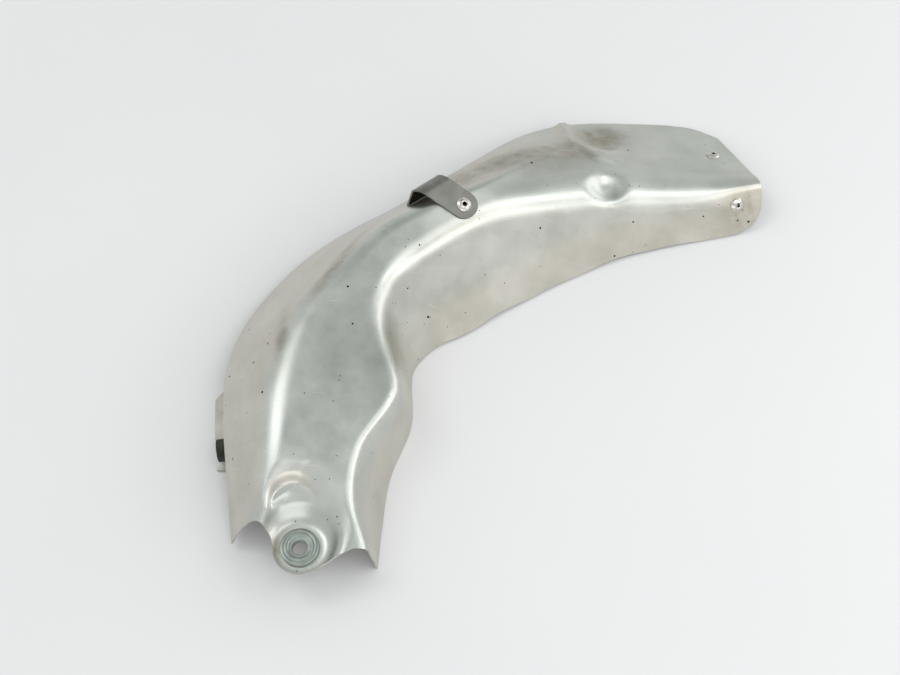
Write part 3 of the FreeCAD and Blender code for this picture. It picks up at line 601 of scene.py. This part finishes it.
def specks(tree, place, cell_mm, share, radius):
    """Mask of round specks: cells with a high random value carry one, its radius up to a part of the cell."""
    cells = add(tree, "ShaderNodeTexVoronoi", {"Vector": place, "Scale": per_metre(cell_mm)})
    size = add(tree, "ShaderNodeMapRange", {
        "Value": cells.outputs["Color"],
        "From Min": SPECK_CUT - share,
        "From Max": SPECK_CUT,
        "To Max": radius,
    })
    inside = {0: cells.outputs["Distance"], 1: size.outputs[0]}
    return add(tree, "ShaderNodeMath", inside, operation="LESS_THAN").outputs[0]


def scratches(tree, place, turn, length_mm, width_mm, sparse):
    """Mask of fine scratches: noise stretched along one direction in plan, kept only at its peaks."""
    stretch = (per_metre(length_mm), per_metre(width_mm), per_metre(length_mm))
    laid = add(tree, "ShaderNodeMapping", {"Vector": place, "Rotation": (0, 0, turn), "Scale": stretch})
    lines = add(tree, "ShaderNodeTexNoise", {"Vector": laid.outputs[0], "Scale": 1.0, "Detail": 2.0})
    peaks = {"Value": lines.outputs[0], "From Min": sparse, "From Max": sparse + 0.05}
    return add(tree, "ShaderNodeMapRange", peaks).outputs[0]


def pressed_aluminium():
    """Pressed aluminium sheet, satin from the rolling mill, scuffed and heat-stained.

    Gives the eye soft white folds, cloudy grey-green flats, beige walls that are a painted reflection of the
    floor and are greyer high up as painted shade below the ridge, brown heat stains at the back, painted
    shade in the brow's crease and, on top of a stain, over the tail facet, a darker inner face that is partly
    tarnish and partly painted shade, fine pale scratches and scattered black specks. The rolling grain is
    drawn at
    1 mm, coarser than the real one, so that it shows.
    """
    material, tree, place = new_material("satin_pressed_aluminium")
    cloud_look = {"Vector": place, "Scale": per_metre(26), "Detail": 6.0, "Roughness": 0.62}
    cloud = add(tree, "ShaderNodeTexNoise", cloud_look).outputs[0]
    smear = add(tree, "ShaderNodeTexNoise", {"Vector": place, "Scale": per_metre(7), "Detail": 4.0})
    grain = add(tree, "ShaderNodeTexNoise", {"Vector": place, "Scale": per_metre(1.0), "Detail": 3.0})
    stain_and_shade = add(tree, "ShaderNodeAttribute", attribute_name="stain_and_shade").outputs["Fac"]
    painted_floor_reflection = add(tree, "ShaderNodeAttribute", attribute_name="painted_floor_reflection").outputs["Fac"]
    uneven = add(tree, "ShaderNodeMapRange", {
        "Value": smear.outputs[0],
        "From Min": 0.3,
        "From Max": 0.7,
        "To Min": 0.55,
        "To Max": 1.25,
    })
    ragged = add(tree, "ShaderNodeMath", {0: stain_and_shade, 1: uneven.outputs[0]}, operation="MULTIPLY")
    drift = add(tree, "ShaderNodeMapRange", {"Value": cloud, "From Min": 0.35, "From Max": 0.65}).outputs[0]
    cool = add(tree, "ShaderNodeMix", {"Factor": drift, MIX_A: "#b6bbb6", MIX_B: "#c6cac5"}, data_type="RGBA")
    # beige laid on as a painted reflection of the floor in the leaning walls
    painted_reflection_beige = add(tree, "ShaderNodeMix", {"Factor": drift, MIX_A: "#c3c0b5", MIX_B: "#d0cec5"}, data_type="RGBA")
    tint = cool.outputs[MIX_OUT]
    layers = (
        (painted_floor_reflection, painted_reflection_beige.outputs[MIX_OUT]),
        # brown: heat stains, painted shade in the brow's crease and over the tail facet, and the inner face's
        # tarnish and painted shade
        (ragged.outputs[0], "#80755c"),
        (scratches(tree, place, 0.5, 16.0, 0.35, 0.71), "#dddbd4"),
        (scratches(tree, place, -0.9, 22.0, 0.3, 0.72), "#d9d7d0"),
        (specks(tree, place, 8.0, 0.2, 0.10), "#2c2824"),
        (specks(tree, place, 4.0, 0.2, 0.10), "#57504a"),
    )
    for share, colour in layers:
        mix = add(tree, "ShaderNodeMix", {"Factor": share, MIX_A: tint, MIX_B: colour}, data_type="RGBA")
        tint = mix.outputs[MIX_OUT]
    rough = add(tree, "ShaderNodeMapRange", {
        "Value": cloud,
        "From Min": 0.3,
        "From Max": 0.7,
        "To Min": 0.29,
        "To Max": 0.39,
    })
    bump = add(tree, "ShaderNodeBump", {"Height": grain.outputs[0], "Strength": 0.12, "Distance": 0.2 * MM})
    metal = add(tree, "ShaderNodeBsdfPrincipled", {
        "Base Color": tint,
        "Roughness": rough.outputs[0],
        "Normal": bump.outputs[0],
        "Metallic": 1.0,
    })
    add(tree, "ShaderNodeOutputMaterial", {"Surface": metal.outputs[0]})
    return material


def plain_metal(name, light, dark, roughness, cloud_mm, grain_mm, bump_mm):
    """Metal whose colour drifts between two tones in clouds, with a fine grain in its gloss."""
    material, tree, place = new_material(name)
    cloud = add(tree, "ShaderNodeTexNoise", {"Vector": place, "Scale": per_metre(cloud_mm), "Detail": 4.0})
    grain = add(tree, "ShaderNodeTexNoise", {"Vector": place, "Scale": per_metre(grain_mm), "Detail": 2.0})
    drift = add(tree, "ShaderNodeMapRange", {"Value": cloud.outputs[0], "From Min": 0.3, "From Max": 0.7})
    shades = {"Factor": drift.outputs[0], MIX_A: dark, MIX_B: light}
    tint = add(tree, "ShaderNodeMix", shades, data_type="RGBA")
    rough = add(tree, "ShaderNodeMapRange", {
        "Value": grain.outputs[0],
        "To Min": roughness - GLOSS_SPREAD,
        "To Max": roughness + GLOSS_SPREAD,
    })
    relief = {"Height": grain.outputs[0], "Strength": 0.15, "Distance": bump_mm * MM}
    bump = add(tree, "ShaderNodeBump", relief)
    metal = add(tree, "ShaderNodeBsdfPrincipled", {
        "Base Color": tint.outputs[MIX_OUT],
        "Roughness": rough.outputs[0],
        "Normal": bump.outputs[0],
        "Metallic": 1.0,
    })
    add(tree, "ShaderNodeOutputMaterial", {"Surface": metal.outputs[0]})
    return material


# Pieces


def stain_and_shade_amount(point):
    """How brown the sheet is: a sum of clouds, each falling off as a bell along and across its place."""
    amount = np.zeros(len(point))
    for place, length, width, depth in STAINS_AND_SHADE:
        x, y = offset_from(point, place)
        amount = amount + depth * np.exp(-((x / length) ** 2) - ((y / width) ** 2))
    return np.clip(amount, 0, 1)


def painted_floor_reflection_amount(along, share, away):
    """How much painted reflection of the floor turns the sheet beige: leaning faces take it, the upper wall
    short of the facet less, so it stays darker as painted shade below the ridge, the seat not.
    """
    upright = np.abs(outward(along, share)[..., 2])
    leaning = ease((WARM_BELOW - upright) / WARM_RUN)
    # less painted reflection on the upper wall, left darker as painted shade below the ridge
    up_wall = ease((share - COOL_WALL_FROM) / COOL_WALL_RUN) * (share < COOL_WALL_END)
    short_of_facet = ease((WARM_FACET - along) / WARM_FACET_RUN)
    off_seat = ease((away - COOL_SEAT) / COOL_SEAT_RUN)
    return leaning * (1 - COOL_WALL * up_wall * short_of_facet) * off_seat


def shell_faces(kept):
    """Faces of two grids, outer then inner, where a cell is kept, and of the rim round the kept cells."""
    rows, columns = kept.shape[0] + 1, kept.shape[1] + 1
    below = rows * columns
    index = np.arange(below).reshape(rows, columns)
    quads = np.stack([index[:-1, :-1], index[1:, :-1], index[1:, 1:], index[:-1, 1:]], -1)
    padded = np.pad(kept, 1)
    rims = []
    for shift, (a, b) in (((-1, 0), (3, 0)), ((1, 0), (1, 2)), ((0, -1), (0, 1)), ((0, 1), (2, 3))):
        beside = padded[1 + shift[0]:rows + shift[0], 1 + shift[1]:columns + shift[1]]
        edge = quads[kept & ~beside]
        rims.append(np.stack([edge[:, b], edge[:, a], edge[:, a] + below, edge[:, b] + below], -1))
    skin = quads[kept]
    return np.concatenate([skin, skin[:, ::-1] + below]), np.concatenate(rims)


def build_sheet():
    """Outer and inner face of the sheet on one grid, joined by a rim wherever the grid stops."""
    along, share = sheet_grid()
    inner = underside(along, share)
    outer = inner + outward(along, share) * THICKNESS
    away = np.linalg.norm(inner[..., :2] - plan(*BUSH), axis=-1)
    nearest = np.minimum.reduce([away[:-1, :-1], away[:-1, 1:], away[1:, 1:], away[1:, :-1]])
    points = np.concatenate([outer.reshape(-1, 3), inner.reshape(-1, 3)])
    skin, rim = shell_faces(nearest > BUSH_HOLE)
    faces = np.concatenate([skin, rim])
    used = np.unique(faces)
    renumber = np.zeros(len(points), int)
    renumber[used] = np.arange(len(used))
    item = mesh_piece("pressed_sheet", points[used], renumber[faces])
    # inner face darker: partly heat tarnish, partly painted shade for the dark inside of the channel
    tarnish_and_shade = np.where(used < away.size, 0.0, INNER_TARNISH_AND_SHADE)
    painted_floor_reflection = painted_floor_reflection_amount(along, share, away).reshape(-1)
    dressing = {
        "stain_and_shade": tarnish_and_shade + stain_and_shade_amount(points[used][:, :2]),
        "painted_floor_reflection": np.concatenate([painted_floor_reflection, painted_floor_reflection])[used],
    }
    for name, values in dressing.items():
        attribute = item.data.attributes.new(name, "FLOAT", "POINT")
        attribute.data.foreach_set("value", values.astype(np.float32))
    # sheared edge: a thin bright line round the sheet
    edge = plain_metal("sheared_aluminium_edge", "#d2d1cc", "#aeaca5", 0.3, 5.0, 0.5, 0.05)
    item.data.materials.append(pressed_aluminium())
    item.data.materials.append(edge)
    on_rim = np.zeros(len(faces), np.int32)
    on_rim[len(skin):] = 1
    item.data.polygons.foreach_set("material_index", on_rim)
    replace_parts(item, "shield_panel")


def skin_place(along, reach, raised=0.0):
    """Point on the outer face and its axes: along the spine's heading, aside, and out along the normal."""
    along = np.array([along])
    share = np.array([share_at(along[0], reach)])
    normal = outward(along, share)[0]
    heading = float(heading_at(along[0]))
    aside = unit(np.cross(normal, [math.cos(heading), math.sin(heading), 0]))
    base = underside(along, share)[0] + normal * (THICKNESS + raised)
    return base, np.stack([np.cross(aside, normal), aside, normal])


def ringed(name, radius, height, place, finish):
    """Piece of rings about the normal of a place: radius and height for every ring and step round it."""
    base, axes = place
    rings, count = radius.shape
    angle = np.arange(count) * 2 * math.pi / count
    local = np.stack([radius * np.cos(angle), radius * np.sin(angle), height], -1)
    index = np.arange(rings * count).reshape(rings, count)
    beside = np.roll(index, -1, axis=1)
    faces = np.stack([index[1:], beside[1:], beside[:-1], index[:-1]], -1).reshape(-1, 4)
    item = mesh_piece(name, (base + local @ axes).reshape(-1, 3), faces)
    item.data.materials.append(finish)
    return item


def turned(name, profile, place, finish):
    """Piece turned about the normal of a place: each profile point carried round in even steps."""
    radius, height = np.repeat(np.array(profile).T[:, :, None], ROUND_STEPS, axis=2)
    return ringed(name, radius, height, place, finish)


def build_rivets():
    """Pulled blind rivets: rolled heads turned from one profile, with a hole where the mandrel broke off."""
    # pulled aluminium: a bright head; in its middle a dark dot, partly the broken steel mandrel and partly
    # painted shade of the hole
    shell = plain_metal("pulled_aluminium_rivet", "#dad8d2", "#b9b7b0", 0.24, 3.0, 0.4, 0.04)
    hole = plain_metal("mandrel_steel_and_hole_shade", "#3a3733", "#211f1d", 0.6, 1.0, 0.3, 0.04)
    places = {
        "tail_rivet": skin_place(*TAIL_RIVET),
        "back_rivet": skin_place(*BACK_RIVET),
        "strap_rivet": skin_place(*STRAP_RIVET, raised=STRAP_RAISE),
    }
    for node, place in places.items():
        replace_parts(turned(f"{node}_head", RIVET_SHELL, place, shell), node)
        turned(f"{node}_hole", RIVET_HOLE, place, hole)


def build_bush():
    """Captive bush turned from one profile: flange with a groove, raised ring round the bore, rolled lip."""
    # dull zinc: an even grey-green with soft rings
    zinc = plain_metal("dull_zinc_plated_bush", "#a0aaa4", "#87908a", 0.38, 6.0, 0.6, 0.05)
    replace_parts(turned("bush_flange", BUSH_PROFILE, skin_place(*BUSH), zinc), "seat_bush")


def bracket_path(along):
    """Bracket's middle line at stations, as reach and height: tab, round bend, round foot corner, foot."""
    edge = section(along, np.ones_like(along))
    normal = outward(along, np.ones_like(along))
    heading = heading_at(along)
    sideways = -normal[:, 0] * np.sin(heading) + normal[:, 1] * np.cos(heading)
    lean = unit(np.stack([sideways, normal[:, 2]], -1))
    down = np.stack([lean[:, 1], -lean[:, 0]], -1)
    half = BRACKET_THICKNESS / 2
    on_tab = edge - lean * (SHEET_GAP + half)
    web = edge[:, 0] + lean[:, 0] * THICKNESS - half
    bend = on_tab + down * ((web - on_tab[:, 0]) / down[:, 0])[:, None]
    corner = np.stack([web, np.full_like(web, BRACKET_BOTTOM + half)], -1)
    taper = np.clip((along.max() - along) / BRACKET_TAPER, BRACKET_TIP, 1)
    foot = corner + np.stack([BRACKET_FOOT * taper, np.zeros_like(web)], -1)
    tab = bend - down * BRACKET_TAB
    line = [tab]
    for before, at, after in ((tab, bend, corner), (bend, corner, foot)):
        radius = np.minimum(BRACKET_BEND, BRACKET_ROOM * np.linalg.norm(after - at, axis=-1))
        start, end, _, _ = round_between(before, at, after, radius)
        for u in np.linspace(0, 1, BEND_STEPS):
            line.append(start * (1 - u) ** 2 + 2 * at * u * (1 - u) + end * u**2)
    return np.stack([*line, foot], 1)


def build_bracket():
    """Bolt bracket: its middle line carried along the outer edge, thickened both ways, cut at the bolt."""
    start = BRACKET_ALONG - BRACKET_LENGTH / 2
    along = np.linspace(start, start + BRACKET_LENGTH, BRACKET_ROWS)
    flat = bracket_path(along)
    middle = np.concatenate([plan(along[:, None], flat[..., 0]), flat[..., 1:]], -1)
    normal = unit(np.cross(np.gradient(middle, axis=0), np.gradient(middle, axis=1)))
    offset = normal * BRACKET_THICKNESS / 2
    points = np.concatenate([(middle - offset).reshape(-1, 3), (middle + offset).reshape(-1, 3)])
    kept = np.ones((middle.shape[0] - 1, middle.shape[1] - 1), bool)
    near_bolt = np.abs((along[1:] + along[:-1]) / 2 - BOLT_ALONG) < BRACKET_CUT * BOLT_ACROSS
    kept[near_bolt, BEND_STEPS + 2:] = False
    skin, rim = shell_faces(kept)
    item = mesh_piece("bolt_bracket", points, np.concatenate([skin, rim])[:, ::-1])
    # rolled steel: a dull warm grey, duller than the sheet
    finish = plain_metal("dull_rolled_bracket_steel", "#bdbbb2", "#a3a199", 0.4, 12.0, 0.6, 0.05)
    item.data.materials.append(finish)
    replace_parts(item, "side_bracket")


def build_bolt():
    """Hexagon bolt: rings up the shank, out to the flats, over the cut corners and into the dished top."""
    stations = BOLT_ALONG + np.array([-BOLT_SPAN, 0.0, BOLT_SPAN])
    reach = bracket_path(stations)[:, BEND_STEPS, 0] + BRACKET_THICKNESS / 2
    along_web = plan(stations, reach)
    ahead = unit(np.append(along_web[2] - along_web[0], 0.0))
    out = np.cross([0.0, 0.0, 1.0], ahead)
    place = np.append(along_web[1], BOLT_HEIGHT), np.stack([ahead, np.cross(out, ahead), out])
    angle = np.arange(ROUND_STEPS) * 2 * math.pi / ROUND_STEPS
    flat = BOLT_ACROSS / 2
    hexagon = flat / np.cos(angle % (math.pi / 3) - math.pi / 6)
    cut = (hexagon - BOLT_FACE * flat) * math.tan(BOLT_CHAMFER)
    rings = (
        (AXIS, BOLT_END),
        (BOLT_SHANK - BOLT_BEVEL, BOLT_END),
        (BOLT_SHANK, BOLT_END + BOLT_BEVEL),
        (BOLT_SHANK, BOLT_SEAT),
        (hexagon, BOLT_SEAT),
        (hexagon, BOLT_HEAD - cut),
        (BOLT_FACE * flat, BOLT_HEAD),
        (BOLT_DISH * flat, BOLT_HEAD - 0.6 * BOLT_DIP),
        (AXIS, BOLT_HEAD - BOLT_DIP),
    )
    radius, height = (np.stack([np.broadcast_to(ring[k], angle.shape) for ring in rings]) for k in range(2))
    # black oxide: near black with a faint sheen on the flats
    black = plain_metal("black_oxide_bolt_steel", "#454842", "#2f312d", 0.42, 5.0, 0.5, 0.05)
    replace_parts(ringed("hexagon_bolt", radius, height, place, black), "side_bolt")


def dress_solids():
    """Finishes for the fasteners and strips that keep their solid shape."""
    # dull zinc: grey-green; mill finish: darker grey than the sheet; black oxide: near black
    zinc = plain_metal("dull_zinc_plated_steel", "#a0aaa4", "#87908a", 0.38, 6.0, 0.6, 0.05)
    strap = plain_metal("mill_finish_aluminium_strip", "#8f908a", "#7a7b75", 0.34, 9.0, 0.5, 0.05)
    black = plain_metal("black_oxide_steel", "#2b2b2c", "#1c1c1d", 0.45, 5.0, 0.5, 0.05)
    finishes = {
        "bush_washer": zinc,
        "strap_loop": strap,
        "tail_strip": strap,
        "side_nut": black,
    }
    for node, finish in finishes.items():
        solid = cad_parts[node]
        solid.data.materials.clear()
        solid.data.materials.append(finish)


# Studio


def build_floor():
    """Pale floor, far larger than the view, with a very slight mottle."""
    mesh = bpy.data.meshes.new("studio_floor")
    corners = [(-1, -1), (1, -1), (1, 1), (-1, 1)]
    mesh.from_pydata([(x * FLOOR_HALF, y * FLOOR_HALF, 0) for x, y in corners], [], [(0, 1, 2, 3)])
    floor = bpy.data.objects.new("studio_floor", mesh)
    bpy.context.scene.collection.objects.link(floor)
    floor.location.z = solid_box[0][2] - FLOOR_DROP
    # matt paint: an even pale grey that takes soft shadows
    material, tree, place = new_material("pale_matt_floor")
    mottle = add(tree, "ShaderNodeTexNoise", {"Vector": place, "Scale": FLOOR_CLOUDS, "Detail": 3.0})
    shades = {"Factor": mottle.outputs[0], MIX_A: "#dfe0e2", MIX_B: "#e4e5e6"}
    tint = add(tree, "ShaderNodeMix", shades, data_type="RGBA").outputs[MIX_OUT]
    paint = add(tree, "ShaderNodeBsdfPrincipled", {"Base Color": tint, "Roughness": 0.6})
    add(tree, "ShaderNodeOutputMaterial", {"Surface": paint.outputs[0]})
    mesh.materials.append(material)


def aim(item, target):
    """Turn a light or camera so that it looks at a point."""
    direction = Vector(target) - item.location
    item.rotation_euler = direction.to_track_quat("-Z", "Y").to_euler()


def build_lights():
    """Soft rectangular lights, each aimed at its own point on the part."""
    for name, (place, target, size, watts) in SOFT_LIGHTS.items():
        data = bpy.data.lights.new(name, "AREA")
        data.shape = "RECTANGLE"
        data.size, data.size_y = size
        data.energy = watts
        item = bpy.data.objects.new(name, data)
        item.location = place
        bpy.context.scene.collection.objects.link(item)
        aim(item, target)


def build_room():
    """Pale room that the flats mirror, greyer round a card high at the back, shown on a plain tone curve."""
    bpy.context.scene.view_settings.view_transform = "Standard"
    world = bpy.data.worlds.new("grey_room")
    world.use_nodes = True
    tree = world.node_tree
    tree.nodes.clear()
    way = add(tree, "ShaderNodeTexCoord").outputs["Generated"]
    toward = add(tree, "ShaderNodeVectorMath", {0: way, 1: BACK_CARD}, operation="DOT_PRODUCT")
    near_card = {
        "Value": toward.outputs["Value"],
        "From Min": math.cos(CARD_EDGE),
        "From Max": math.cos(CARD_MIDDLE),
    }
    card = add(tree, "ShaderNodeMapRange", near_card, interpolation_type="SMOOTHSTEP")
    shades = {"Factor": card.outputs[0], MIX_A: "#fbfbfa", MIX_B: "#cfd2cf"}
    tone = add(tree, "ShaderNodeMix", shades, data_type="RGBA").outputs[MIX_OUT]
    room = add(tree, "ShaderNodeBackground", {"Color": tone, "Strength": ROOM_STRENGTH})
    add(tree, "ShaderNodeOutputWorld", {"Surface": room.outputs[0]})
    bpy.context.scene.world = world


def build_camera():
    """Camera at the photograph's angle, looking just left of the middle."""
    data = bpy.data.cameras.new("photo_camera")
    data.lens = CAMERA_LENS
    data.sensor_width = CAMERA_SENSOR
    item = bpy.data.objects.new("photo_camera", data)
    bpy.context.scene.collection.objects.link(item)
    x, y = (FRONT_X + CAMERA_LOOK[0]) * MM, (FRONT_Y + CAMERA_LOOK[1]) * MM
    back, up = CAMERA_DISTANCE * math.cos(CAMERA_DOWN), CAMERA_DISTANCE * math.sin(CAMERA_DOWN)
    item.location = (x, y - back, up)
    aim(item, (x, y, 0.0))
    bpy.context.scene.camera = item


build_sheet()
build_rivets()
build_bush()
build_bracket()
build_bolt()
dress_solids()
build_floor()
build_lights()
build_room()
build_camera()
